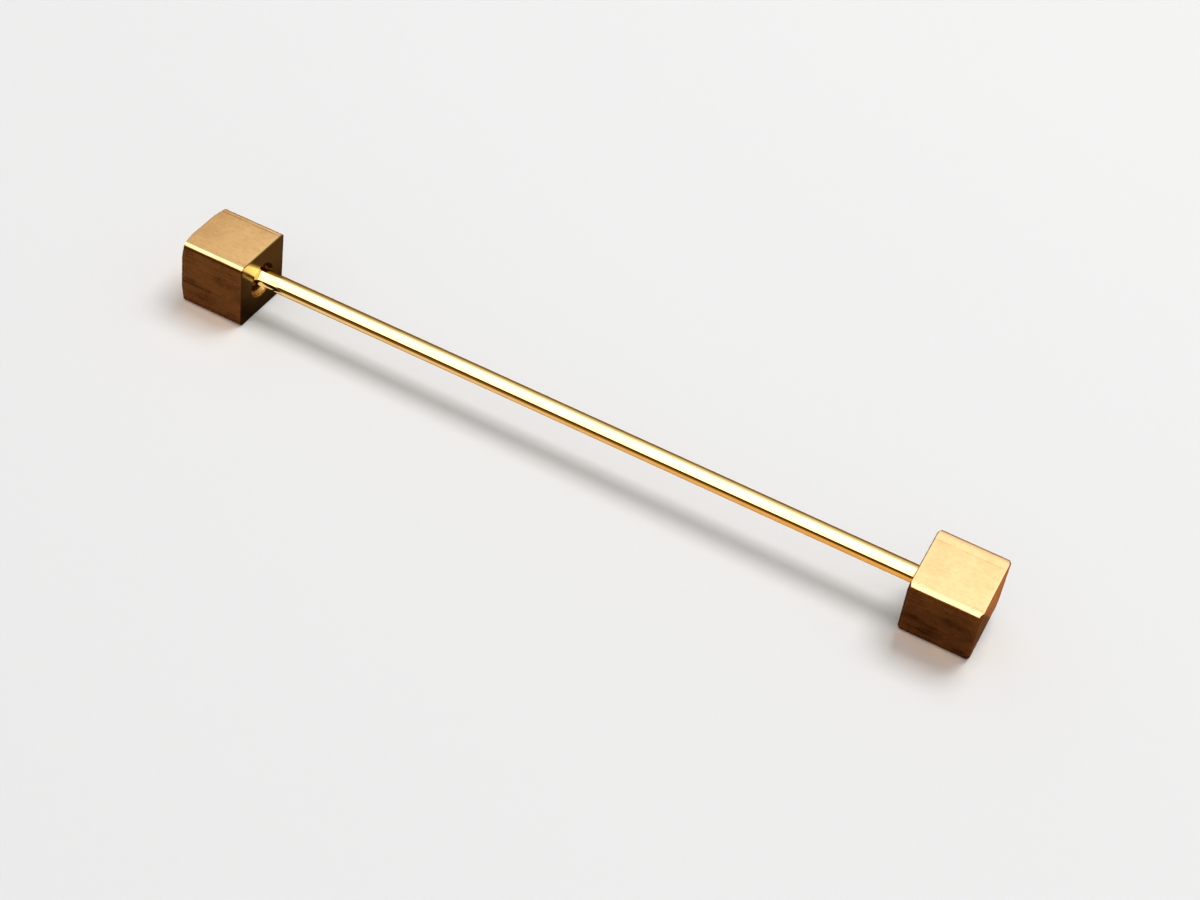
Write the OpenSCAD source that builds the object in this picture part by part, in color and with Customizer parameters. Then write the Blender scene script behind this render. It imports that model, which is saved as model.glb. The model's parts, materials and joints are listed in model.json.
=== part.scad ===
// Collar bar: a polished round bar with a square block on each end.
// One block is locked on for good. The other screws off, so that the bar
// can be passed through the eyelets of a shirt collar.
// The bar lies along X with the middle of its axis on the origin, and Z is up.

/* [Bar] */
// Free length of the bar between the two cubes
span_len = 50.8; // [40:0.1:60]
// Diameter of the bar
bar_d = 1.3; // [1.2:0.05:1.8]
// Height of the bar's axis above the middle of the cubes
bar_rise = 0.3; // [0:0.05:0.35]
// Bevel round the bar's two shoulders
shoulder_bevel = 0.05; // [0.02:0.01:0.08]

/* [End cubes] */
// Width and height of each cube
cube_side = 5.16; // [4.6:0.02:8]
// Length of each cube along the bar
cube_len = 5.06; // [4.6:0.02:8]
// Radius of a cube's four long edges
edge_r = 0.25; // [0.1:0.05:0.6]
// Radial cut at the corners of the screw-off cube's outer end
dome_cut = 0.7; // [0.2:0.05:0.8]
// Slope of that cut from the end face
dome_angle = 14; // [8:1:30]
// Radial cut at the corners of the locked cube's two ends
trim_cut = 0.2; // [0.1:0.05:0.3]
// Slope of those cuts from the end face
trim_angle = 39; // [20:1:50]
// Turn about the bar at which the locked cube was fixed
locked_turn = 11.4; // [-45:0.1:45]

/* [Countersink and bush] */
// Diameter of the countersink at a cube's inner face
sink_d = 2.7; // [2.5:0.05:3.4]
// Depth of the countersink
sink_depth = 0.45; // [0.3:0.05:0.6]
// Angle between the countersink's sides
sink_angle = 90; // [60:1:100]
// Outer diameter of a bush
bush_d = 1.8; // [1.5:0.05:2]
// Length of a bush
bush_len = 2; // [1.4:0.1:2.4]
// Gap round a bush that its solder fills
solder_gap = 0.03; // [0.02:0.01:0.05]

/* [Thread] */
// Outer diameter of the thread on the bar's ends
thread_d = 1; // [0.8:0.05:1.1]
// Pitch of the thread
thread_pitch = 0.25; // [0.2:0.01:0.3]
// Radial gap between the bar's thread and the bush
thread_gap = 0.02; // [0.01:0.005:0.05]
// Plain neck between a shoulder and its thread
neck_len = 0.15; // [0.1:0.01:0.3]
// Distance from the bar's tip to the floor of the bush's seat
tip_gap = 0.2; // [0.1:0.05:0.4]

/* [Hidden] */
// Depth of a metric thread as a share of its pitch
thread_share = 0.6134;
thread_depth = thread_share * thread_pitch;
// Lead-in bevel at a bush's mouth, from the bore out
mouth_bevel = thread_depth;
stud_len = bush_len - tip_gap;
sink_slope = tan(sink_angle / 2);
tip_bevel = thread_depth;
ring_count = floor((stud_len - neck_len - tip_bevel) / thread_pitch);
groove_count = floor((bush_len - 2 * mouth_bevel) / thread_pitch);
// Distance from a cube's middle line to the crown of its rounded edge
corner_reach = (cube_side / 2 - edge_r) * sqrt(2) + edge_r;
// Cut and slope of a cube's end: left square, domed or trimmed at its corners
square_end = [0, 0];
domed_end = [dome_cut, dome_angle];
trimmed_end = [trim_cut, trim_angle];
// Extra length on every cutter, so that no cut ends flush with a face
past = 0.5;
round_fn = 96;
edge_fn = 48;

// Solid of revolution about X, from points given as [distance along X, radius]
module turned(points) {
    rotate([0, 90, 0])
        rotate_extrude($fn = round_fn)
            polygon([for (p = points) [p[1], p[0]]]);
}

// Straight round cutter along X
module bore(start, length, diameter) {
    translate([start, 0, 0])
        rotate([0, 90, 0])
            cylinder(h = length, d = diameter, $fn = round_fn);
}

// One ridge for each turn: root, flank, flat crest and flank over one pitch
function ridges(start, count, root, crest) = [
    for (i = [0 : count - 1], step = [[0.25, root], [0.5625, crest], [0.6875, crest], [1, root]])
        [start + (i + step[0]) * thread_pitch, step[1]]
];

// Half of the bar, from its middle to the tip of one threaded end
function half_bar() = let (
    shoulder = span_len / 2 + sink_depth,
    crest = thread_d / 2,
    root = crest - thread_depth,
    tip = shoulder + stud_len
) concat(
    [
        [0, 0],
        [0, bar_d / 2],
        [shoulder - shoulder_bevel, bar_d / 2],
        [shoulder, bar_d / 2 - shoulder_bevel],
        [shoulder, root],
        [shoulder + neck_len, root]
    ],
    ridges(shoulder + neck_len, ring_count, root, crest),
    [
        [tip - tip_bevel, root],
        [tip, root - tip_bevel],
        [tip, 0]
    ]
);

// Square bar stock with rounded long edges
module rounded_stock() {
    inner = cube_side - 2 * edge_r;
    rotate([0, 90, 0])
        linear_extrude(height = cube_len)
            union() {
                square([inner, cube_side], center = true);
                square([cube_side, inner], center = true);
                for (x = [-1, 1], y = [-1, 1])
                    translate([x * inner / 2, y * inner / 2])
                        circle(r = edge_r, $fn = edge_fn);
            }
}

// Half of the outline that the lathe leaves, as [depth from the end face, radius].
// An end left square stands clear of the cube
function cut_points(end) = let (
    cut = end[0],
    over = corner_reach + past
) cut > 0
    ? [[0, 0], [0, corner_reach - cut], [(cut + past) * tan(end[1]), over]]
    : [[-past, 0], [-past, over]];

// Outline that the lathe leaves: a cone at a cut end, which only the corners meet
module turned_outline(inner_end, outer_end) {
    outer = cut_points(outer_end);
    turned(concat(
        cut_points(inner_end),
        [for (i = [len(outer) - 1 : -1 : 0]) [cube_len - outer[i][0], outer[i][1]]]
    ));
}

// End cube with its inner face at X = 0 and the bar's axis on X
module end_cube(inner_end, outer_end) {
    difference() {
        translate([0, 0, -bar_rise])
            intersection() {
                rounded_stock();
                turned_outline(inner_end, outer_end);
            }
        translate([0, 0, -bar_rise])
            turned([
                [-past, 0],
                [-past, sink_d / 2 + past * sink_slope],
                [sink_depth, sink_d / 2 - sink_depth * sink_slope],
                [sink_depth, 0]
            ]);
        bore(-past, past + sink_depth + bush_len, bush_d + 2 * solder_gap);
    }
}

// Bush with its near face at the foot of the countersink, where the bar's shoulder stops
module bush() {
    crest = thread_d / 2 + thread_gap;
    root = crest + thread_depth / 2;
    near = sink_depth;
    far = sink_depth + bush_len;
    grooves = ridges(near + mouth_bevel, groove_count, crest, root);
    turned(concat(
        [
            [near, bush_d / 2],
            [near, crest + mouth_bevel],
            [near + mouth_bevel, crest]
        ],
        grooves,
        [
            [far, crest],
            [far, bush_d / 2]
        ]
    ));
}

// Place at the locked end, on +X
module locked_end() {
    translate([span_len / 2, 0, 0])
        rotate([locked_turn, 0, 0])
            children();
}

// Place at the end that screws off, on -X
module screw_end() {
    mirror([1, 0, 0])
        translate([span_len / 2, 0, 0])
            children();
}

module bar() {
    color([0.93, 0.72, 0.32])
        union() {
            turned(half_bar());
            mirror([1, 0, 0])
                turned(half_bar());
        }
}

module locked_cube() {
    color([0.83, 0.64, 0.38])
        locked_end()
            end_cube(trimmed_end, trimmed_end);
}

module locked_bush() {
    color([0.75, 0.6, 0.3])
        locked_end()
            bush();
}

module screw_cube() {
    color([0.83, 0.64, 0.38])
        screw_end()
            end_cube(square_end, domed_end);
}

module screw_bush() {
    color([0.75, 0.6, 0.3])
        screw_end()
            bush();
}

bar();
locked_cube();
locked_bush();
screw_cube();
screw_bush();
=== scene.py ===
import json
import math
from typing import NamedTuple

import bmesh
import bpy
from mathutils import Matrix, Vector

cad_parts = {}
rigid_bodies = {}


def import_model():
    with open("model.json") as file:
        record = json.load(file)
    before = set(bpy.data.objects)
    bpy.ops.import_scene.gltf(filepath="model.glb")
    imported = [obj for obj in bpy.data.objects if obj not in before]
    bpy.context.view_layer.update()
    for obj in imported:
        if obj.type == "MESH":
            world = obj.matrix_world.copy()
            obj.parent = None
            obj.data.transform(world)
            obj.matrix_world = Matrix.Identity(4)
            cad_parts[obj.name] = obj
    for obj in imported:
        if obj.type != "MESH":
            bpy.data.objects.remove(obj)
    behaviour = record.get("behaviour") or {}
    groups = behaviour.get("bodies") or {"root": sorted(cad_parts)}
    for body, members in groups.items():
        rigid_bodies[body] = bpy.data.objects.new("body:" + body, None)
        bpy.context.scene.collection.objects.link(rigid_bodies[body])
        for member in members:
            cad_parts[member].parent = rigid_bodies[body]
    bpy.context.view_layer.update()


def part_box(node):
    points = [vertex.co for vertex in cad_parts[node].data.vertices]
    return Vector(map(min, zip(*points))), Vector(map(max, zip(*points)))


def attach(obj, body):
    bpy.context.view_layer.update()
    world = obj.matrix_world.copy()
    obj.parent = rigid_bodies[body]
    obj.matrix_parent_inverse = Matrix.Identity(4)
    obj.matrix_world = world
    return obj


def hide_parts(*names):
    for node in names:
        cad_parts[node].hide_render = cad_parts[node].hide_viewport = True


bl_info = {
    "name": "Collar bar",
    "version": (1, 0, 0),
    "blender": (4, 5, 0),
    "location": "3D View > Sidebar > Collar bar",
    "description": "Dresses the packed collar bar and sets it on a pale studio floor",
    "category": "Object",
}

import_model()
MM = 0.001

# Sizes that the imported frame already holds, in metres
BAR_LOW, BAR_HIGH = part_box("bar")
LOCKED_LOW, LOCKED_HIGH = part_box("locked_bush")
SCREW_LOW, SCREW_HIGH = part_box("screw_cube")
INNER_FACE = -SCREW_HIGH.x
CUBE_LENGTH = SCREW_HIGH.x - SCREW_LOW.x
CUBE_SIDE = SCREW_HIGH.z - SCREW_LOW.z
BAR_RISE = -(SCREW_HIGH.z + SCREW_LOW.z) / 2
SHOULDER = LOCKED_LOW.x

# How finely the pieces are meshed
TURNED_SIDES = 128
STEPS_PER_PITCH = 16
FLAT_STEPS = 52
CORNER_STEPS = 14
END_FACE_RINGS = (0.3, 0.8)
CONE_RINGS = (0.3, 0.6, 1.0)
TURNED_CREASE = math.radians(28.0)
CUBE_CREASE = math.radians(38.0)

# Points closer than this are one: in metres on a turned piece, in millimetres on a cube
TURNED_WELD = 1e-6
CUBE_WELD = 1e-5

# Flats of the thread, as shares of its pitch
CREST_SHARE = 0.125
STUD_ROOT_SHARE = 0.25
BUSH_ROOT_SHARE = 0.4

# Satin finish, in millimetres short of an edge or a face: where a mask starts and is full
LONG_EDGE_WEAR = (0.62, 0.22)
END_EDGE_WEAR = (0.24, 0.05)
FLAT_SIDE = (0.06, 0.02)
FLAT_END = (0.035, 0.012)
# Painted dark reflection along the sides' edge with the inner face
INNER_RIM_REFLECTION = (0.09, 0.05)

# Camera: its place, and its turns about Z, X and Z in degrees
CAMERA_PLACE = (0.040457, -0.103467, 0.099710)
CAMERA_TURNS = ((20.349, "Z"), (47.422, "X"), (10.519, "Z"))
SENSOR_WIDTH = 36.0
NEAREST_SEEN = 0.005

# Softboxes: name, middle, facing, width along X, breadth and share of the set brightness
SOFTBOXES = (
    ("overhead softbox", (-0.15, -0.405, 0.60), (0, 0, -1), 2.2, 0.99, 1.0),
    ("rear softbox", (-0.15, 0.180, 0.60), (0, 0, -1), 2.2, 0.18, 0.70),
    ("front softbox", (-0.15, -0.90, 0.34), (0, 1, 0), 2.2, 0.54, 1.0),
)

# Square lamp that faces the frame's origin and lights the floor alone
FLOOR_LAMP_PLACE = (0.12, 0.30, 0.75)
FLOOR_LAMP_SIDE = 0.42

# Reflecting cards that lie just over the floor and face up: name, middle, width along X,
# breadth, radiance, colour at their -X end, colour at their +X end and the piece that sees them
AMBER, ORANGE, COPPER = (1.0, 0.86, 0.62), (1.0, 0.54, 0.16), (1.0, 0.40, 0.16)
FLOOR_CARDS = (
    ("card under the bar", (-0.004, -0.0017), 0.0640, 0.0034, 0.74, AMBER, ORANGE,
     "polished_bar"),
    ("card before the bar", (-0.004, -0.0044), 0.0640, 0.0020, 0.74, (0.0, 0.0, 0.0),
     (1.0, 0.60, 0.20), "polished_bar"),
    ("card behind the locked cube", (0.0335, 0.007), 0.0060, 0.0100, 0.34, COPPER, COPPER,
     "locked_end_cube"),
)
CARD_LIFT = 0.0004

# Cards at the screw-off cube's inner face, facing +X, that the bar alone sees: name, middle
# counted from that face, width along Y, height, radiance or None for the softboxes' own, colour
# and roll in degrees
WHITE_GOLD = (1.0, 1.0, 0.85)
HOLE_CARDS = (
    ("card over the hole", (0.00003, -0.00099, 0.0020), 0.0026, 0.0021, None, WHITE_GOLD, 22.0),
    ("card before the hole", (0.00003, -0.00149, 0.00057), 0.0026, 0.0011, None, WHITE_GOLD,
     -11.0),
    ("card under the hole", (0.00003, -0.00086, -0.00117), 0.0009, 0.0020, 0.74, AMBER, 15.0),
    ("card in the hole", (-0.00025, -0.0005, 0.0005), 0.0010, 0.0010, 0.9, (1.0, 0.78, 0.36),
     0.0),
)

# The studio's air, as light on the floor and as the camera sees it past the floor's edge
AIR_ON_FLOOR = (0.60, 0.62, 0.66)
AIR_IN_CAMERA = (0.73, 0.715, 0.69)


# ---- settings ----


def length(name, description, default):
    """A size in metres, shown in the scene's own units."""
    return bpy.props.FloatProperty(
        name=name, description=description, default=default, min=0.0,
        unit="LENGTH", subtype="DISTANCE", precision=6)


def share(name, description, default):
    """A number from 0 to 1."""
    return bpy.props.FloatProperty(
        name=name, description=description, default=default, min=0.0, max=1.0,
        subtype="FACTOR")


def tint(name, description, default):
    """A linear colour."""
    return bpy.props.FloatVectorProperty(
        name=name, description=description, default=default, size=3,
        min=0.0, max=1.0, subtype="COLOR")


def turn(name, description, degrees):
    """An angle, given here in degrees."""
    return bpy.props.FloatProperty(
        name=name, description=description, default=math.radians(degrees),
        unit="ROTATION", subtype="ANGLE")


class CollarBarSizes(bpy.types.PropertyGroup):
    """Sizes of the pieces. What the frame gives is its default."""

    bar_diameter: length("Bar diameter", "Diameter of the polished bar",
                         BAR_HIGH.z - BAR_LOW.z)
    shoulder_bevel: length("Shoulder bevel", "Bevel round the bar's shoulders", 0.05 * MM)
    thread_diameter: length("Thread diameter", "Outer diameter of the bar's thread", 1.0 * MM)
    thread_pitch: length("Thread pitch", "Advance of the thread in one turn", 0.25 * MM)
    thread_depth: length("Thread depth", "Depth of the bar's thread", 0.1533 * MM)
    thread_gap: length("Thread gap", "Radial gap between the bar's thread and a bush", 0.02 * MM)
    neck: length("Neck", "Plain neck between a shoulder and its thread", 0.15 * MM)
    cube_side: length("Cube side", "Width and height of each end cube", CUBE_SIDE)
    cube_length: length("Cube length", "Length of each end cube along the bar", CUBE_LENGTH)
    bar_rise: length("Bar rise", "Height of the bar's axis above a cube's middle", BAR_RISE)
    edge_radius: length("Edge radius", "Radius of a cube's four long edges", 0.25 * MM)
    dome_cut: length("Dome cut", "Radial cut at the corners of the screw-off cube's outer end",
                     0.70 * MM)
    trim_cut: length("Trim cut", "Radial cut at the corners of the locked cube's ends",
                     0.20 * MM)
    edge_break: length("Edge break", "Radius left by the file on a cube's other edges",
                       0.04 * MM)
    sink_diameter: length("Countersink diameter",
                          "Diameter of the countersink at the inner face", 2.7 * MM)
    bush_gap: length("Bush gap", "Gap round a bush in its seat", 0.03 * MM)
    sink_angle: turn("Countersink angle", "Angle between the countersink's sides", 90.0)
    dome_slope: turn("Dome slope", "Slope of the dome cut from the end face", 14.0)
    trim_slope: turn("Trim slope", "Slope of the trim cuts from the end face", 39.0)
    locked_turn: turn("Locked turn", "Turn about the bar at which the locked cube is fixed",
                      11.4)


class CollarBarFinish(bpy.types.PropertyGroup):
    """Colours and gloss of the metals."""

    bar_gold: tint("Bar gold", "Colour of the polished bar", (1.0, 0.77, 0.35))
    cube_gold: tint("Cube gold", "Colour of the screw-off cube's upper face",
                    (0.93, 0.640, 0.316))
    # Painted shade: the same gold as the screw-off cube's upper face, set darker to tone down the
    # light on the locked cube
    locked_gold: tint("Locked gold", "Colour of the locked cube's upper face",
                      (0.82, 0.515, 0.27))
    # Darker colour of the top, for its random toning and for its painted dark reflection lines
    cube_shade: tint("Cube shade", "Colour of a cube's upper face where it is toned",
                     (0.52, 0.27, 0.11))
    # Painted shade: the sides get a darker, redder copy of the top's gold
    side_gold: tint("Side gold", "Colour of a cube's other sides", (0.80, 0.46, 0.18))
    side_shade: tint("Side shade", "Colour of a cube's other sides where they are toned",
                     (0.20, 0.105, 0.048))
    # Painted light and shade on the inner face: lighter near its top, darker near its foot
    face_gold: tint("Face gold", "Colour of a cube's inner face near its top",
                    (0.54, 0.43, 0.19))
    face_shade: tint("Face shade", "Colour of a cube's inner face near its foot",
                     (0.11, 0.10, 0.065))
    # Painted light and shade in the countersink; the dark colour also paints the dark reflections
    # along the cube's edges
    sink_gold: tint("Countersink gold", "Colour of the countersink where it is bright",
                    (0.98, 0.66, 0.30))
    sink_brown: tint("Countersink brown", "Colour of the countersink's upper wall",
                     (0.78, 0.55, 0.22))
    sink_shade: tint("Countersink shade", "Colour of the countersink where it is toned",
                     (0.09, 0.05, 0.02))
    brass: tint("Brass", "Colour of the bare brass bushes", (0.82, 0.60, 0.26))
    bar_roughness: share("Bar roughness", "Roughness of the polished bar", 0.07)
    cube_roughness: share("Cube roughness", "Roughness of a cube's brushed sides", 0.31)
    face_roughness: share("Face roughness", "Roughness of a cube's inner face", 0.14)


class CollarBarStage(bpy.types.PropertyGroup):
    """Floor, lights and camera."""

    floor_tone: tint("Floor tone", "Colour of the floor", (0.70, 0.69, 0.67))
    floor_in_metal: tint("Floor in metal", "The floor as the metal sees it, near the object",
                         (0.110, 0.057, 0.025))
    far_floor_in_metal: tint("Far floor in metal", "The floor as the metal sees it, far away",
                             (0.022, 0.009, 0.003))
    air_low: tint("Low air", "The studio as the metal sees it, near the floor",
                  (0.32, 0.19, 0.05))
    air_high: tint("High air", "The studio as the metal sees it, high up", (0.88, 0.82, 0.72))
    softbox: bpy.props.FloatProperty(
        name="Softbox", description="Brightness of the softboxes as the metal sees them",
        default=2.2, min=0.0)
    floor_lamp: bpy.props.FloatProperty(
        name="Floor lamp", description="Brightness of the lamp that lights the floor alone",
        default=9.0, min=0.0)
    lens: bpy.props.FloatProperty(
        name="Lens", description="Focal length of the camera", default=65.915,
        unit="CAMERA", min=1.0)


# ---- shader nodes ----


def socket_of(sockets, name):
    """A socket by its number, its identifier, which is its own, or else its name."""
    for socket in sockets:
        if socket.identifier == name:
            return socket
    return sockets[name]


class Value:
    """A socket in a node sheet. Arithmetic on it adds Math nodes."""

    def __init__(self, sheet, socket):
        self.sheet = sheet
        self.socket = socket

    def maths(self, operation, *values):
        made = self.sheet.add("ShaderNodeMath", {"operation": operation},
                              dict(enumerate(values)))
        return Value(self.sheet, made.outputs[0])

    def __add__(self, other):
        return self.maths("ADD", self, other)

    def __sub__(self, other):
        return self.maths("SUBTRACT", self, other)

    def __rsub__(self, other):
        return self.maths("SUBTRACT", other, self)

    def __mul__(self, other):
        return self.maths("MULTIPLY", self, other)

    def __truediv__(self, other):
        return self.maths("DIVIDE", self, other)

    def __abs__(self):
        return self.maths("ABSOLUTE", self)

    def __pow__(self, other):
        return self.maths("POWER", self, other)

    __radd__ = __add__
    __rmul__ = __mul__

    def larger(self, other):
        return self.maths("MAXIMUM", self, other)

    def smaller(self, other):
        return self.maths("MINIMUM", self, other)

    def step(self, low, high):
        """0 below low, 1 above high and a smooth rise between. High may be the lower one."""
        made = self.sheet.add("ShaderNodeMapRange", {"interpolation_type": "SMOOTHSTEP"},
                              {"Value": self, "From Min": low, "From Max": high})
        return Value(self.sheet, made.outputs[0])

    def near(self, limit, start, full):
        """0 until it is start short of a limit, and 1 once it is full short of it."""
        return self.step(limit - start, limit - full)

    def line(self, place, width):
        """1 on a line at the place, fading to 0 at its width."""
        return abs(self - place).step(width, 0.0)


class Sheet:
    """The node tree of a material, a light or the studio's world."""

    def __init__(self, owner):
        owner.use_nodes = True
        self.tree = owner.node_tree
        self.tree.nodes.clear()

    def add(self, kind, settings=(), sockets=()):
        """A node of a kind: first its settings, then the values or links of its sockets."""
        made = self.tree.nodes.new(kind)
        for name, value in dict(settings).items():
            setattr(made, name, value)
        for name, value in dict(sockets).items():
            self.plug(socket_of(made.inputs, name), value)
        return made

    def plug(self, socket, value):
        """Sets a socket to a value, or links one to it."""
        if isinstance(value, Value):
            self.tree.links.new(value.socket, socket)
        elif isinstance(value, bpy.types.NodeSocket):
            self.tree.links.new(value, socket)
        elif socket.type == "RGBA":
            socket.default_value = (*value, 1.0)
        else:
            socket.default_value = value

    def value(self, node, output=0):
        """One of a node's outputs, to reckon with."""
        return Value(self, node.outputs[output])

    def axis(self, place, name):
        """One coordinate of a place."""
        return self.value(self.add("ShaderNodeSeparateXYZ", {}, {"Vector": place}), name)

    def mix(self, amount, start, end):
        """A colour between two, by an amount."""
        made = self.add("ShaderNodeMix", {"data_type": "RGBA"},
                        {"Factor_Float": amount, "A_Color": start, "B_Color": end})
        return socket_of(made.outputs, "Result_Color")


class Finish(Sheet):
    """A metal finish on Object coordinates, counted in millimetres from a middle."""

    def __init__(self, name, middle=(0.0, 0.0, 0.0), turned=0.0):
        self.material = bpy.data.materials.new(name)
        super().__init__(self.material)
        place = self.add("ShaderNodeTexCoord")
        self.place = self.add(
            "ShaderNodeMapping", {},
            {"Vector": place.outputs["Object"], "Scale": (1 / MM,) * 3,
             "Rotation": (-turned, 0.0, 0.0), "Location": [-c / MM for c in middle]}).outputs[0]
        parts = self.add("ShaderNodeSeparateXYZ", {}, {"Vector": self.place})
        self.x, self.y, self.z = (self.value(parts, i) for i in range(3))

    def reach(self):
        """Distance from the line through the middle along X."""
        return (self.y * self.y + self.z * self.z) ** 0.5

    def stretched(self, *scale):
        """The place with its three axes scaled."""
        return self.add("ShaderNodeVectorMath", {"operation": "MULTIPLY"},
                        {0: self.place, 1: scale}).outputs[0]

    def noise(self, scale, detail=2.0, roughness=0.5, place=None):
        """Soft spots of which about that many fit in a millimetre, from 0 to 1."""
        made = self.add("ShaderNodeTexNoise", {},
                        {"Vector": place or self.place, "Scale": scale, "Detail": detail,
                         "Roughness": roughness})
        return self.value(made)

    def bump(self, height, depth):
        """A normal from a height of 0 to 1 and its depth in millimetres."""
        return self.add("ShaderNodeBump", {},
                        {"Height": height, "Distance": depth * MM}).outputs[0]

    def close(self, colour, roughness, normal):
        """The metal's shader, on the sheet's output."""
        shader = self.add("ShaderNodeBsdfPrincipled", {},
                          {"Base Color": colour, "Metallic": 1.0, "Roughness": roughness,
                           "Normal": normal})
        self.add("ShaderNodeOutputMaterial", {}, {"Surface": shader.outputs[0]})
        return self.material


def shaded(colour, *shares):
    """A colour with its three parts lowered to their shares."""
    return [c * s for c, s in zip(colour, shares)]


def polished_gold(finish):
    """Mirror-polished gold, with faint lines of the buff along the bar. The polish ends on the
    studs."""
    sheet = Finish("polished gold")
    haze = sheet.noise(0.8, 3.0)
    buff = sheet.noise(9.0, 3.0, 0.6, sheet.stretched(0.03, 1.0, 1.0))
    ticks = sheet.noise(2.2, 2.0, 0.5, sheet.stretched(0.6, 1.0, 1.0)).step(0.66, 0.80)
    studs = abs(sheet.x).step(26.7, 26.9)
    colour = sheet.mix(haze.step(0.3, 0.75) * 0.35 + studs * 0.4, finish.bar_gold[:],
                       shaded(finish.bar_gold, 0.86, 0.74, 0.55))
    roughness = buff * 0.05 + ticks * 0.05 + studs * 0.12 + (finish.bar_roughness - 0.03)
    return sheet.close(colour, roughness, sheet.bump(buff, 0.0006))


class CubeLook(NamedTuple):
    """What sets one cube's finish apart from the other's."""

    gold: tuple  # colour of its upper face; the locked cube's is a darker copy of the same gold, painted shade
    top_line: float  # where the painted dark line, a reflection where the back edge starts to round, crosses that face, in millimetres from its middle
    top_depth: float  # how strong that painted line, the painted highlight strip behind it and the painted dark line under the front edge are
    front_line: float  # height of the painted dark line on the front side, a reflected shadow edge, in millimetres
    stain: float  # how strongly its sides are stained
    toned: float  # how far its sides are darkened towards their foot: painted shade


def painted_inner_face_light(sheet, finish, half, cloud):
    """The inner face: painted light towards its top and its middle, and painted shade towards its
    foot and its front.
    """
    lit = (sheet.z.step(-half, half * 0.7) * (0.45 + 0.55 * sheet.y.step(-half, 0.0))
           + (cloud - 0.5) * 0.7)
    return sheet.mix(lit.larger(0.0).smaller(1.0), finish.face_shade[:], finish.face_gold[:])


def painted_countersink_light(sheet, finish, reach, mottle):
    """The countersink: painted light, brown on its upper wall and bright gold on a low front
    patch, and painted shade in a crescent high behind the bar and on the walls below."""
    y, z = sheet.y, sheet.z
    # Painted light: a bright patch low at the front
    bright = ((z + y * 0.56).step(-0.71, -0.83) * reach.step(0.98, 1.04)
              * (1 - mottle.step(0.5, 0.72) * 0.7))
    # Painted shade: a crescent high at the back and the walls below; the upper wall takes painted
    # light
    crescent = reach.step(1.04, 1.14) * y.step(0.10, 0.35) * z.step(0.10, 0.40)
    walls = sheet.mix(z.step(-0.1, 0.2) * (1 - crescent), finish.sink_shade[:],
                      finish.sink_brown[:])
    return sheet.mix(bright, walls, finish.sink_gold[:])


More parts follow.
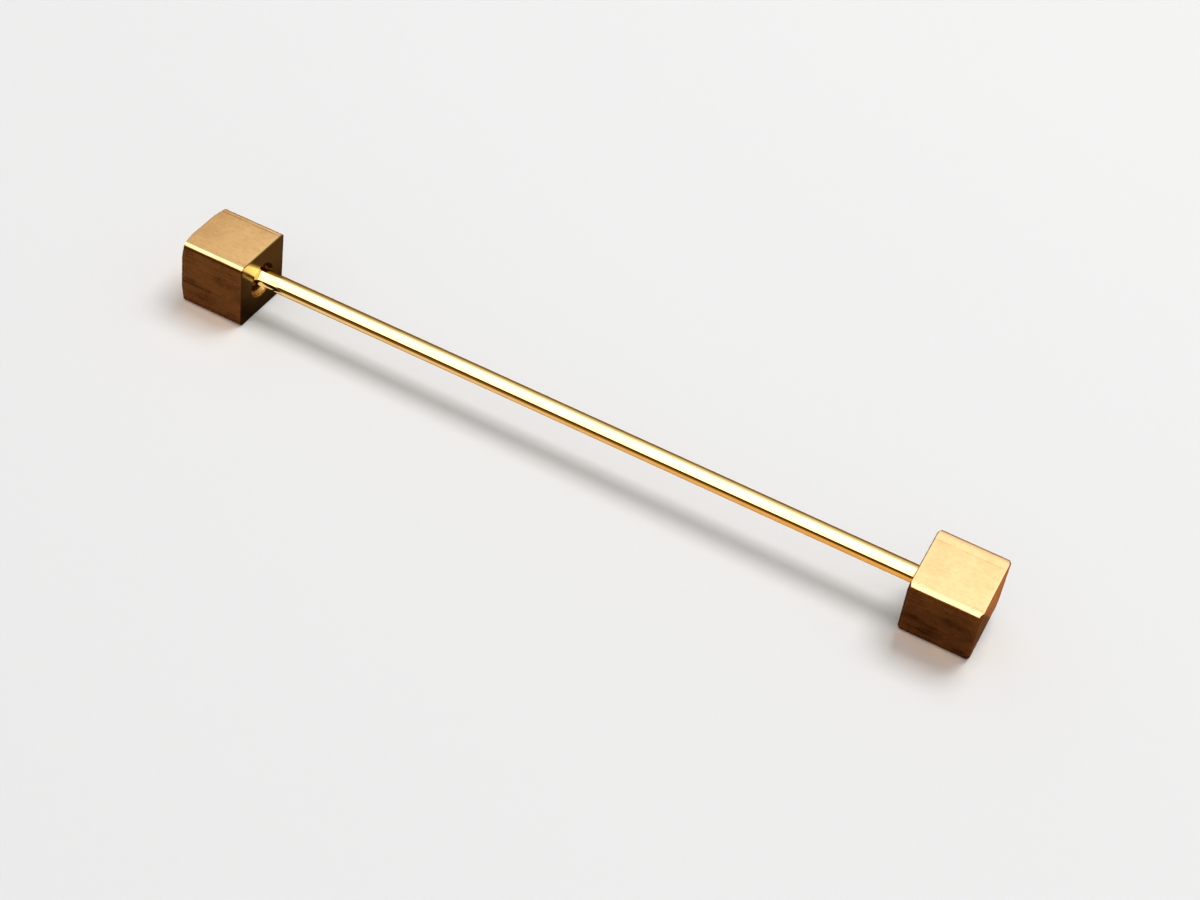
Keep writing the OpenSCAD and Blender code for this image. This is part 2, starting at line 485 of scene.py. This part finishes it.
def satin_gold(name, finish, sizes, middle, turned, inner_side, look):
    """Satin gold, brushed along the bar, with brighter worn edges and painted light and shade:
    darker sides, dark reflection lines, a highlight strip and a lit and shaded inner face and
    countersink. The inner side is 1 for a cube whose inner face is on its +X side, or else -1."""
    sheet = Finish(name, middle, turned)
    half, end = sizes.cube_side / MM / 2, sizes.cube_length / MM / 2
    hole = sizes.sink_diameter / MM / 2
    x, y, z, reach = sheet.x, sheet.y, sheet.z, sheet.reach()
    inward = x * inner_side

    # Parts of the cube
    long_edges = (abs(y) + abs(z)).near(2 * half, *LONG_EDGE_WEAR)
    end_edges = (abs(x) + abs(y).larger(abs(z))).near(half + end, *END_EDGE_WEAR)
    inner_face = inward.near(end, *FLAT_END)
    sides = 1 - abs(x).near(end, *FLAT_END)
    top = z.near(half, *FLAT_SIDE)
    front = y.step(FLAT_SIDE[0] - half, FLAT_SIDE[1] - half)
    # Every face but the top takes the darker side colours: painted shade
    shaded_sides = 1 - top
    in_hole = (reach.step(hole + 0.03, hole - 0.01) * inward.near(end, 0.006, 0.02)
               * inward.step(0.0, 0.1))

    # Marks
    along = sheet.stretched(0.05, 1.0, 1.0)
    cloud = sheet.noise(0.55, 3.0, 0.55)
    mottle = sheet.noise(3.2, 4.0, 0.62)
    grain = sheet.noise(26.0, 2.0, 0.5)
    brush = sheet.noise(11.0, 5.0, 0.65, along)
    scores = sheet.noise(4.0, 3.0, 0.5, along).step(0.63, 0.74) * sides
    pits = sheet.noise(7.5, 1.0, 0.4).step(0.70, 0.77)
    wander = (sheet.noise(0.9, 2.0) - 0.5) * 0.22
    # Painted reflection: a dark line across the top near its back edge, also a shallow groove in
    # the bump
    top_line = ((y + wander * 0.4).line(look.top_line, 0.09) * top * cloud.step(0.2, 0.5)
                * look.top_depth)
    # Painted reflection: a dark line across the front side, also a shallow groove in the bump
    front_line = (z + wander).line(look.front_line, 0.11) * front * cloud.step(0.3, 0.6)
    lines = top_line + front_line
    wear = long_edges.larger(end_edges) * mottle.step(0.25, 0.6)
    blots = sheet.noise(1.1, 4.0, 0.6, sheet.stretched(0.5, 1.0, 1.0)) - 0.5

    # How far each takes the colour from its gold to its shade
    tone = (cloud.step(0.3, 0.75) * 0.24 + mottle.step(0.35, 0.8) * 0.30
            + (brush - 0.5) * 0.7 * sides + (grain - 0.5) * 0.40
            + scores * 0.20 + lines * 0.75 + pits * 0.45 - wear * 0.25)
    # Random stains and brushing, plus painted shade that darkens the sides towards their foot
    stains_and_foot_shade = blots * look.stain + (brush - 0.5) * sides + look.toned * (1 - z / half)
    # Painted highlight: a lighter strip from the top's painted line to its back edge
    painted_highlight_strip = (y.step(look.top_line + 0.05, look.top_line + 0.15) * top
                    * look.top_depth)
    colour = sheet.mix((tone + stains_and_foot_shade * shaded_sides - painted_highlight_strip * 0.5).larger(0.0).smaller(1.0),
                       sheet.mix(shaded_sides, look.gold[:], finish.side_gold[:]),
                       sheet.mix(shaded_sides, finish.cube_shade[:], finish.side_shade[:]))
    # Painted dark reflections: a line just under the front top edge and a line along the inner
    # face's rim
    painted_under_edge = z.line(half - 0.31, 0.13) * front * 0.8 * look.top_depth
    painted_dark_edges = (inward.near(end, *INNER_RIM_REFLECTION) * 0.85).larger(painted_under_edge)
    colour = sheet.mix(painted_dark_edges, colour, finish.sink_shade[:])
    colour = sheet.mix(inner_face, colour, painted_inner_face_light(sheet, finish, half, cloud))
    colour = sheet.mix(in_hole, colour, painted_countersink_light(sheet, finish, reach, mottle))

    brushed = (brush * 0.14 + mottle * 0.08 + (grain - 0.5) * 0.06
               + (finish.cube_roughness - 0.11) - wear * 0.10)
    faced = mottle * 0.05 + (grain - 0.5) * 0.03 + (finish.face_roughness - 0.02)
    roughness = brushed + inner_face.larger(in_hole) * (faced - brushed) + in_hole * 0.06
    relief = (brush * sides * 0.9 + grain * 0.18 + mottle * 0.35
              - lines * 1.1 - scores * 0.5 - pits * 0.8)
    return sheet.close(colour, roughness, sheet.bump(relief, 0.004))


def bare_brass(finish):
    """Brass as the lathe left it, with fine rings round its axis."""
    sheet = Finish("bare brass")
    rings = sheet.value(sheet.add(
        "ShaderNodeTexNoise", {"noise_dimensions": "1D"},
        {"W": sheet.reach() + sheet.x * 0.9, "Scale": 22.0, "Detail": 3.0}))
    blotch = sheet.noise(2.4, 3.0, 0.6)
    colour = sheet.mix(blotch.step(0.35, 0.8) * 0.45 + rings.step(0.55, 0.8) * 0.2,
                       finish.brass[:], shaded(finish.brass, 0.55, 0.45, 0.35))
    return sheet.close(colour, rings * 0.12 + blotch * 0.1 + 0.14, sheet.bump(rings, 0.002))


# ---- turned pieces: one geometry tree spins an outline and cuts its thread ----


class Tree:
    """A geometry node tree under construction."""

    def __init__(self, name):
        self.tree = bpy.data.node_groups.new(name, "GeometryNodeTree")
        self.inputs = {}

    def socket(self, name, kind, default=None):
        """A named input of the whole tree."""
        made = self.tree.interface.new_socket(name, in_out="INPUT", socket_type=kind)
        if default is not None:
            made.default_value = default
        self.inputs[name] = made.identifier

    def add(self, kind, settings=(), sockets=()):
        """A node of a kind: first its settings, then the values or links of its sockets."""
        made = self.tree.nodes.new(kind)
        for name, value in dict(settings).items():
            setattr(made, name, value)
        for name, value in dict(sockets).items():
            if isinstance(value, bpy.types.NodeSocket):
                self.tree.links.new(value, made.inputs[name])
            else:
                made.inputs[name].default_value = value
        return made

    def maths(self, operation, *values, kind="ShaderNodeMath"):
        """The result of one Math node."""
        return self.add(kind, {"operation": operation}, dict(enumerate(values))).outputs[0]

    def sampled(self, kind, geometry, index, value):
        """A value of one point of a geometry."""
        return self.add("GeometryNodeSampleIndex", {"data_type": kind, "domain": "POINT"},
                        {"Geometry": geometry, "Index": index, "Value": value}).outputs[0]


def turning_tree():
    """Spins an outline of points (along the axis, radius) about X. Where the outline's own
    attribute named ridge is above 0, a ridge of that share of the depth winds round it."""
    made = Tree("Turned piece")
    made.socket("Outline", "NodeSocketGeometry")
    made.socket("Sides", "NodeSocketInt", TURNED_SIDES)
    made.socket("Pitch", "NodeSocketFloat", 0.25 * MM)
    made.socket("Depth", "NodeSocketFloat", 0.1 * MM)
    made.socket("Crest Share", "NodeSocketFloat", CREST_SHARE)
    made.socket("Root Share", "NodeSocketFloat", STUD_ROOT_SHARE)
    made.socket("Material", "NodeSocketMaterial")
    made.tree.interface.new_socket("Geometry", in_out="OUTPUT", socket_type="NodeSocketGeometry")
    given = made.add("NodeGroupInput").outputs

    # A grid with a row for each point of the outline and a column for each side
    whole = "FunctionNodeIntegerMath"
    columns = made.maths("ADD", given["Sides"], 1, kind=whole)
    stations = made.add("GeometryNodeAttributeDomainSize", {"component": "MESH"},
                        {"Geometry": given["Outline"]}).outputs["Point Count"]
    grid = made.add("GeometryNodeMeshGrid", {},
                    {"Size X": 1.0, "Size Y": 1.0, "Vertices X": stations, "Vertices Y": columns})
    index = made.add("GeometryNodeInputIndex").outputs[0]
    station = made.maths("DIVIDE_FLOOR", index, columns, kind=whole)
    column = made.maths("MODULO", index, columns, kind=whole)
    round_share = made.maths("DIVIDE", column, given["Sides"])
    angle = made.maths("MULTIPLY", round_share, -math.tau)
    point = made.sampled("FLOAT_VECTOR", given["Outline"], station,
                         made.add("GeometryNodeInputPosition").outputs[0])
    ridge = made.add("GeometryNodeInputNamedAttribute", {"data_type": "FLOAT"}, {"Name": "ridge"})
    ridge = made.sampled("FLOAT", given["Outline"], station, ridge.outputs[0])
    parts = made.add("ShaderNodeSeparateXYZ", {}, {0: point}).outputs

    # Right-hand thread: the ridge moves away along X as it turns clockwise
    wound = made.maths("FRACT", made.maths(
        "ADD", made.maths("DIVIDE", parts["X"], given["Pitch"]), round_share))
    off_crest = made.maths("ABSOLUTE", made.maths("SUBTRACT", wound, 0.5))
    crest = made.maths("MULTIPLY", given["Crest Share"], 0.5)
    foot = made.maths("SUBTRACT", 0.5, made.maths("MULTIPLY", given["Root Share"], 0.5))
    height = made.add("ShaderNodeMapRange", {"clamp": True},
                      {"Value": off_crest, "From Min": foot, "From Max": crest}).outputs[0]
    height = made.maths("MULTIPLY", made.maths("MULTIPLY", height, ridge), given["Depth"])
    radius = made.maths("ADD", parts["Y"], height)
    place = made.add("ShaderNodeCombineXYZ", {}, {
        "X": parts["X"],
        "Y": made.maths("MULTIPLY", radius, made.maths("COSINE", angle)),
        "Z": made.maths("MULTIPLY", radius, made.maths("SINE", angle))}).outputs[0]

    spun = made.add("GeometryNodeSetPosition", {},
                    {"Geometry": grid.outputs["Mesh"], "Position": place}).outputs[0]
    spun = made.add("GeometryNodeMergeByDistance", {},
                    {"Geometry": spun, "Distance": TURNED_WELD}).outputs[0]
    spun = made.add("GeometryNodeRealizeInstances", {}, {"Geometry": spun}).outputs[0]
    spun = made.add("GeometryNodeSetMaterial", {},
                    {"Geometry": spun, "Material": given["Material"]}).outputs[0]
    made.add("NodeGroupOutput", {}, {"Geometry": spun})
    return made


def plain_mesh(thing):
    """Leaves the evaluated object's mesh in place of its own, with its modifiers gone."""
    shown = thing.evaluated_get(bpy.context.evaluated_depsgraph_get())
    mesh = bpy.data.meshes.new_from_object(shown)
    thing.modifiers.clear()
    old, thing.data = thing.data, mesh
    bpy.data.meshes.remove(old)
    mesh.name = thing.name
    return mesh


def linked(name, data):
    """A new object of a mesh, a light or a camera in the scene."""
    thing = bpy.data.objects.new(name, data)
    bpy.context.scene.collection.objects.link(thing)
    return thing


def turned_piece(name, outline, material, pitch, depth, root_share):
    """A piece turned about X from points (along, radius, ridge)."""
    mesh = bpy.data.meshes.new(name)
    mesh.from_pydata([(along, radius, 0.0) for along, radius, _ in outline],
                     [(i, i + 1) for i in range(len(outline) - 1)], [])
    ridge = mesh.attributes.new("ridge", "FLOAT", "POINT")
    ridge.data.foreach_set("value", [p[2] for p in outline])
    piece = linked(name, mesh)
    tree = turning_tree()
    spin = piece.modifiers.new("Turning", "NODES")
    spin.node_group = tree.tree
    for label, value in (("Sides", TURNED_SIDES), ("Pitch", pitch), ("Depth", depth),
                         ("Crest Share", CREST_SHARE), ("Root Share", root_share),
                         ("Material", material)):
        spin[tree.inputs[label]] = value
    mesh = plain_mesh(piece)
    mesh.shade_smooth()
    mesh.set_sharp_from_angle(angle=TURNED_CREASE)
    return piece


def threaded_run(start, end, radius, pitch, fade):
    """Outline points along a thread, with its ridge rising and fading at the two ends."""
    count = round((end - start) / pitch * STEPS_PER_PITCH)
    run = []
    for i in range(count + 1):
        along = start + (end - start) * i / count
        nearest = min(along - start, end - along)
        run.append((along, radius, min(1.0, nearest / fade)))
    return run


def mirrored(outline):
    """An outline for the other end of the bar, still running towards +X."""
    return [(-along, radius, ridge) for along, radius, ridge in reversed(outline)]


# ---- cubes ----


def square_ring(half, radius):
    """Points (y, z) round a square with rounded corners, turning from +Y to +Z."""
    flat = half - radius
    ring = []
    for quarter in range(4):
        spin = Matrix.Rotation(quarter * math.pi / 2, 2)
        side = [(half, -flat + 2 * flat * i / FLAT_STEPS) for i in range(FLAT_STEPS)]
        corner = [(flat + radius * math.cos(a), flat + radius * math.sin(a))
                  for a in (math.pi / 2 * i / CORNER_STEPS for i in range(CORNER_STEPS))]
        ring += [tuple(spin @ Vector(p)) for p in side + corner]
    return ring


def end_profile(reach, cone, slope, rounding):
    """Where one ray from a cube's axis meets its end: points (depth, radius) from the end face
    over the cone that the lathe cut to the long side, with both edges rounded."""
    lean = Vector((-math.cos(slope), math.sin(slope)))
    steep = math.tan(slope)
    side_line = reach - rounding
    shifted = Vector((0.0, cone)) - lean * rounding
    first = Vector((rounding, min(side_line, shifted.y + (rounding - shifted.x) / steep)))
    last = Vector((max(rounding, shifted.x + (side_line - shifted.y) * steep), side_line))
    turn_at = math.pi - slope
    points = []
    for centre, start, end, steps in ((first, math.pi, turn_at, 2),
                                      (last, turn_at, math.pi / 2, 4)):
        for i in range(steps + 1):
            a = start + (end - start) * i / steps
            points.append(centre + rounding * Vector((math.cos(a), math.sin(a))))
    return points


class Countersink:
    """The hole in a cube's inner face, in millimetres: a cone about the cube's middle, which the
    bush's seat about the bar's axis breaks into."""

    # Rings at the broken edge, as their depth and their reach past the rim in edge breaks
    RIM = ((0.0, 5.0), (0.0, 0.8), (0.2, 0.25), (0.8, -0.8))
    # Depth of the seat's second ring behind the cone's foot
    LIP = 0.05

    def __init__(self, sizes, depth, lift):
        self.radius = sizes.sink_diameter / MM / 2
        self.steep = math.tan(sizes.sink_angle / 2)
        self.depth = depth
        self.lift = lift
        self.seat = (LOCKED_HIGH.z - LOCKED_LOW.z) / MM / 2 + sizes.bush_gap / MM

    def place(self, angle, depth, radius):
        """Where a ray from the bar's axis meets a circle about the cube's middle, or the seat."""
        along = self.lift * math.sin(angle)
        far = along + math.sqrt(along * along - self.lift ** 2 + radius * radius)
        far = max(far, self.seat)
        return depth, far * math.cos(angle), far * math.sin(angle)

    def seat_ring(self, angles, depth):
        """A ring of the bush's seat."""
        return [(depth, self.seat * math.cos(a), self.seat * math.sin(a)) for a in angles]

    def rings(self, angles, edge_break):
        """Rings from the rim over its broken edge, down the cone and across to the seat."""
        made = [[self.place(a, depth * edge_break, self.radius + out * edge_break)
                 for a in angles] for depth, out in self.RIM]
        top = self.RIM[-1][0] * edge_break
        for share in CONE_RINGS:
            ring = []
            for a in angles:
                reach = math.hypot(self.seat * math.cos(a), self.seat * math.sin(a) - self.lift)
                foot = min((self.radius - reach) / self.steep, self.depth)
                depth = top + (foot - top) * share
                ring.append(self.place(a, depth, self.radius - depth * self.steep))
            made.append(ring)
        foot = self.radius - self.depth * self.steep
        made.append([self.place(a, self.depth, foot) for a in angles])
        made += [self.seat_ring(angles, d) for d in (self.depth, self.depth + self.LIP)]
        return made


def cube_mesh(name, sizes, inner_end, outer_end, sink_depth, bush_depth):
    """An end cube in millimetres: its inner face at X = 0, its outer face beyond it and the
    bar's axis on X. Each end is the cut at its corners and that cut's slope."""
    far = sizes.cube_length / MM
    half = sizes.cube_side / MM / 2
    lift = -sizes.bar_rise / MM
    corner = sizes.edge_radius / MM
    edge_break = sizes.edge_break / MM
    reach = (half - corner) * math.sqrt(2) + corner
    ring = square_ring(half, corner)
    rays = [(Vector(p).normalized(), Vector(p).length) for p in ring]

    def ends(cut, slope, depth_of):
        profiles = [end_profile(r, reach - cut / MM, slope, edge_break) for _, r in rays]
        return [[(depth_of(p[k].x), d.x * p[k].y, d.y * p[k].y + lift)
                 for (d, _), p in zip(rays, profiles)] for k in range(len(profiles[0]))]

    outer = ends(*outer_end, lambda d: far - d)
    hole = Countersink(sizes, sink_depth, lift)
    angles = [math.atan2(z, y) for y, z in ring]
    rings = [
        *([(x, y * s, (z - lift) * s + lift) for x, y, z in outer[0]] for s in END_FACE_RINGS),
        *outer,
        *reversed(ends(*inner_end, lambda d: d)),
        *hole.rings(angles, edge_break),
        hole.seat_ring(angles, bush_depth),
    ]
    count = len(ring)
    points = [p for r in rings for p in r]
    faces = [(a + i, a + (i + 1) % count, a + count + (i + 1) % count, a + count + i)
             for a in range(0, count * (len(rings) - 1), count) for i in range(count)]
    faces.append(tuple(reversed(range(count))))
    faces.append(tuple(range(len(points) - count, len(points))))
    mesh = bpy.data.meshes.new(name)
    mesh.from_pydata(points, [], faces)
    welded = bmesh.new()
    welded.from_mesh(mesh)
    bmesh.ops.remove_doubles(welded, verts=welded.verts, dist=CUBE_WELD)
    bmesh.ops.recalc_face_normals(welded, faces=welded.faces)
    welded.to_mesh(mesh)
    welded.free()
    mesh.shade_smooth()
    mesh.set_sharp_from_angle(angle=CUBE_CREASE)
    return mesh


def put_in_place(mesh, at_plus_x, turned):
    """Takes a cube's mesh from millimetres at X = 0 to its place in the frame."""
    if not at_plus_x:
        mesh.transform(Matrix.Scale(-1.0, 4, (1, 0, 0)))
        mesh.flip_normals()
    mesh.transform(Matrix.Translation((INNER_FACE if at_plus_x else -INNER_FACE, 0, 0))
                   @ Matrix.Rotation(turned, 4, "X") @ Matrix.Scale(MM, 4))


def weight_normals(piece):
    """Lets the broad faces keep their own shading right up to their rounded edges."""
    shading = piece.modifiers.new("Shading", "WEIGHTED_NORMAL")
    shading.keep_sharp = True
    shading.weight = 80
    plain_mesh(piece)


# ---- operators ----


class CollarBarMakeBar(bpy.types.Operator):
    """Turn the polished bar, with a threaded stud at each end"""

    bl_idname = "collar_bar.make_bar"
    bl_label = "Make the bar"

    def execute(self, context):
        sizes, finish = context.scene.collar_bar_sizes, context.scene.collar_bar_finish
        body, tip = sizes.bar_diameter / 2, BAR_HIGH.x
        root = sizes.thread_diameter / 2 - sizes.thread_depth
        bevel, pitch = sizes.shoulder_bevel, sizes.thread_pitch
        fillet, run_out, fade = 0.04 * MM, 0.12 * MM, 0.16 * MM
        half = [
            (SHOULDER - bevel, body, 0.0),
            *((SHOULDER - bevel * (1 - math.sin(a)), body - bevel * (1 - math.cos(a)), 0.0)
              for a in (math.pi / 6, math.pi / 3, math.pi / 2)),
            (SHOULDER, root + fillet, 0.0),
            (SHOULDER + fillet * 0.3, root + fillet * 0.3, 0.0),
            (SHOULDER + fillet, root, 0.0),
            *threaded_run(SHOULDER + sizes.neck * 0.5, tip - run_out, root, pitch, fade),
            (tip - 0.09 * MM, root, 0.0),
            (tip - 0.03 * MM, root - 0.05 * MM, 0.0),
            (tip, root - 0.10 * MM, 0.0),
            (tip, 0.0, 0.0),
        ]
        bar = turned_piece("polished_bar", mirrored(half) + half, polished_gold(finish), pitch,
                           sizes.thread_depth, STUD_ROOT_SHARE)
        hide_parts("bar")
        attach(bar, "bar")
        return {"FINISHED"}


class CollarBarMakeBushes(bpy.types.Operator):
    """Turn the two threaded brass bushes"""

    bl_idname = "collar_bar.make_bushes"
    bl_label = "Make the bushes"

    def execute(self, context):
        sizes, finish = context.scene.collar_bar_sizes, context.scene.collar_bar_finish
        brass = bare_brass(finish)
        outside = (LOCKED_HIGH.z - LOCKED_LOW.z) / 2
        near, far = LOCKED_LOW.x, LOCKED_HIGH.x
        crest = sizes.thread_diameter / 2 + sizes.thread_gap
        mouth, pitch = sizes.thread_depth, sizes.thread_pitch
        bevel, run_out, fade = 0.03 * MM, 0.05 * MM, 0.10 * MM
        outline = [
            (near, crest + mouth, 0.0),
            (near, outside - bevel, 0.0),
            (near + bevel * 0.3, outside - bevel * 0.3, 0.0),
            (near + bevel, outside, 0.0),
            (far - bevel, outside, 0.0),
            (far, outside - bevel, 0.0),
            (far, crest + bevel, 0.0),
            *reversed(threaded_run(near + mouth, far - run_out, crest, pitch, fade)),
            (near, crest + mouth, 0.0),
        ]
        for name, node, body, run in (
            ("locked_end_bush", "locked_bush", "bar", outline),
            ("screw_end_bush", "screw_bush", "screw_bush", mirrored(outline)),
        ):
            bush = turned_piece(name, run, brass, pitch, sizes.thread_depth / 2,
                                BUSH_ROOT_SHARE)
            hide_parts(node)
            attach(bush, body)
        return {"FINISHED"}


class CollarBarMakeCubes(bpy.types.Operator):
    """Make the two satin end cubes, countersunk and bored for their bushes"""

    bl_idname = "collar_bar.make_cubes"
    bl_label = "Make the cubes"

    def execute(self, context):
        sizes, finish = context.scene.collar_bar_sizes, context.scene.collar_bar_finish
        sink_depth = (SHOULDER - INNER_FACE) / MM
        bush_depth = (LOCKED_HIGH.x - INNER_FACE) / MM
        middle = INNER_FACE + sizes.cube_length / 2
        lift = -sizes.bar_rise
        square = (0.0, sizes.dome_slope)
        domed = (sizes.dome_cut, sizes.dome_slope)
        trimmed = (sizes.trim_cut, sizes.trim_slope)
        locked_look = CubeLook(gold=finish.locked_gold, top_line=1.60, top_depth=0.35,
                               front_line=9.0, stain=2.0, toned=0.14)
        screw_look = CubeLook(gold=finish.cube_gold, top_line=2.12, top_depth=1.0,
                              front_line=-0.75, stain=1.6, toned=0.0)
        for name, metal, node, body, side, turned, ends, look in (
            ("locked_end_cube", "satin gold locked", "locked_cube", "bar", 1,
             sizes.locked_turn, (trimmed, trimmed), locked_look),
            ("screw_end_cube", "satin gold screw", "screw_cube", "screw_cube", -1,
             0.0, (square, domed), screw_look),
        ):
            mesh = cube_mesh(name, sizes, *ends, sink_depth, bush_depth)
            put_in_place(mesh, side > 0, turned)
            cube = linked(name, mesh)
            weight_normals(cube)
            cube.data.materials.append(
                satin_gold(metal, finish, sizes, (side * middle, 0.0, lift), turned, -side, look))
            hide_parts(node)
            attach(cube, body)
        return {"FINISHED"}


def resting_plane(things):
    """Height at X = 0 and slope along X of the floor that both ends of the object rest on."""
    points = [[v.co for v in thing.data.vertices] for thing in things]
    slope = 0.0
    for _ in range(20):
        left, right = (min(side, key=lambda p: p.z - slope * p.x) for side in points)
        slope = (right.z - left.z) / (right.x - left.x)
    return left.z - slope * left.x, slope


def softbox(name, middle, facing, wide, high, radiance, on_floor=False):
    """A rectangular area light, wide along X or, where it faces along X, along Y. The camera
    doesn't see it, and it lights either the metal's mirror image or the floor."""
    light = bpy.data.lights.new(name, "AREA")
    light.shape = "RECTANGLE"
    light.size, light.size_y = wide, high
    light.energy = radiance * math.pi * wide * high
    lamp = linked(name, light)
    down = -Vector(facing).normalized()
    across = Vector((0.0, 1.0, 0.0) if facing[0] else (1.0, 0.0, 0.0))
    across = (across - down * across.dot(down)).normalized()
    lamp.matrix_world = Matrix.Translation(middle) @ Matrix(
        (across, down.cross(across), down)).transposed().to_4x4()
    lamp.visible_camera = False
    lamp.visible_diffuse = on_floor
    lamp.visible_glossy = not on_floor
    return lamp


def card(name, middle, facing, wide, high, radiance, colour, far_colour, receiver, roll=0.0):
    """A small reflecting card, as a light that one piece alone sees. Its colour may change along
    X, and it may be rolled, in degrees."""
    lamp = softbox(name, middle, facing, wide, high, radiance)
    lamp.matrix_world = lamp.matrix_world @ Matrix.Rotation(math.radians(roll), 4, "Z")
    sheet = Sheet(lamp.data)
    place = sheet.add("ShaderNodeNewGeometry").outputs["Position"]
    tone = sheet.mix(sheet.axis(place, "X").step(-0.030, 0.030), colour, far_colour)
    glow = sheet.add("ShaderNodeEmission", {}, {"Color": tone, "Strength": 1.0})
    sheet.add("ShaderNodeOutputLight", {}, {"Surface": glow.outputs[0]})
    lit = bpy.data.collections.new(name)
    lit.objects.link(bpy.data.objects[receiver])
    lamp.light_linking.receiver_collection = lit


def pale_floor(stage, height, slope):
    """The floor under both ends. The metal sees it as the dark brown ground of its reflections."""
    reach = 3.0
    mesh = bpy.data.meshes.new("floor")
    mesh.from_pydata([(x, y, height + slope * x) for x, y in
                      ((-reach, -reach), (reach, -reach), (reach, reach), (-reach, reach))],
                     [], [(0, 1, 2, 3)])
    paint = bpy.data.materials.new("pale floor")
    sheet = Sheet(paint)
    path = sheet.add("ShaderNodeLightPath")
    place = sheet.add("ShaderNodeTexCoord").outputs["Object"]
    cloud = sheet.value(sheet.add("ShaderNodeTexNoise", {},
                                  {"Vector": place, "Scale": 9.0, "Detail": 2.0}))
    seen = sheet.mix(abs(sheet.axis(place, "Y")).step(0.008, 0.030), stage.floor_in_metal[:],
                     stage.far_floor_in_metal[:])
    pale = stage.floor_tone[:]
    tone = sheet.mix(cloud * 0.06, pale, shaded(pale, 0.8, 0.8, 0.8))
    tone = sheet.mix(sheet.value(path, "Is Glossy Ray"), tone, seen)
    shader = sheet.add("ShaderNodeBsdfDiffuse", {}, {"Color": tone})
    sheet.add("ShaderNodeOutputMaterial", {}, {"Surface": shader.outputs[0]})
    mesh.materials.append(paint)
    return linked("floor", mesh)


def studio_air(stage):
    """The world: a soft rise of light for the metal, and even light for the floor."""
    world = bpy.data.worlds.new("studio")
    sheet = Sheet(world)
    path = sheet.add("ShaderNodeLightPath")
    way = sheet.add("ShaderNodeTexCoord").outputs["Generated"]
    tone = sheet.mix(sheet.axis(way, "Z").step(0.30, 0.78), stage.air_low[:],
                     stage.air_high[:])
    tone = sheet.mix(sheet.value(path, "Is Diffuse Ray"), tone, AIR_ON_FLOOR)
    tone = sheet.mix(sheet.value(path, "Is Camera Ray"), tone, AIR_IN_CAMERA)
    air = sheet.add("ShaderNodeBackground", {}, {"Color": tone, "Strength": 1.0})
    sheet.add("ShaderNodeOutputWorld", {}, {"Surface": air.outputs[0]})
    return world


class CollarBarMakeStage(bpy.types.Operator):
    """Set the pale floor, the soft studio lights and the camera"""

    bl_idname = "collar_bar.make_stage"
    bl_label = "Make the stage"

    def execute(self, context):
        stage = context.scene.collar_bar_stage
        cubes = [bpy.data.objects[n] for n in ("screw_end_cube", "locked_end_cube")]
        height, slope = resting_plane(cubes)
        pale_floor(stage, height, slope)

        for name, middle, facing, wide, high, brightness in SOFTBOXES:
            softbox(name, middle, facing, wide, high, stage.softbox * brightness)
        for name, (x, y), wide, high, radiance, colour, far_colour, receiver in FLOOR_CARDS:
            card(name, (x, y, height + CARD_LIFT), (0, 0, 1), wide, high, radiance,
                 colour, far_colour, receiver)
        for name, (out, y, z), wide, high, radiance, colour, roll in HOLE_CARDS:
            card(name, (-INNER_FACE + out, y, z), (1, 0, 0), wide, high,
                 radiance or stage.softbox, colour, colour, "polished_bar", roll)
        softbox("floor lamp", FLOOR_LAMP_PLACE, -Vector(FLOOR_LAMP_PLACE), FLOOR_LAMP_SIDE,
                FLOOR_LAMP_SIDE, stage.floor_lamp, on_floor=True)
        context.scene.world = studio_air(stage)

        eye = bpy.data.cameras.new("camera")
        eye.lens, eye.sensor_width, eye.clip_start = stage.lens, SENSOR_WIDTH, NEAREST_SEEN
        camera = linked("camera", eye)
        camera.matrix_world = Matrix.Translation(CAMERA_PLACE)
        for degrees, axis in CAMERA_TURNS:
            camera.matrix_world @= Matrix.Rotation(math.radians(degrees), 4, axis)
        context.scene.camera = camera
        context.scene.view_settings.view_transform = "Standard"
        return {"FINISHED"}


class CollarBarPanel(bpy.types.Panel):
    """Lists the steps and the settings of the collar bar"""

    bl_idname = "VIEW3D_PT_collar_bar"
    bl_label = "Collar bar"
    bl_space_type = "VIEW_3D"
    bl_region_type = "UI"
    bl_category = "Collar bar"

    def draw(self, context):
        for step in STEPS:
            self.layout.operator(step.bl_idname)
        for group, place in GROUPS.items():
            box = self.layout.box()
            for setting in group.__annotations__:
                box.prop(getattr(context.scene, place), setting)


STEPS = (CollarBarMakeBar, CollarBarMakeBushes, CollarBarMakeCubes, CollarBarMakeStage)
GROUPS = {
    CollarBarSizes: "collar_bar_sizes",
    CollarBarFinish: "collar_bar_finish",
    CollarBarStage: "collar_bar_stage",
}


def register():
    for kind in (*GROUPS, *STEPS, CollarBarPanel):
        bpy.utils.register_class(kind)
    for group, place in GROUPS.items():
        setattr(bpy.types.Scene, place, bpy.props.PointerProperty(type=group))


def unregister():
    for place in GROUPS.values():
        delattr(bpy.types.Scene, place)
    for kind in reversed((*GROUPS, *STEPS, CollarBarPanel)):
        bpy.utils.unregister_class(kind)


def main():
    register()
    bpy.ops.collar_bar.make_bar()
    bpy.ops.collar_bar.make_bushes()
    bpy.ops.collar_bar.make_cubes()
    bpy.ops.collar_bar.make_stage()


if __name__ == "__main__":
    main()
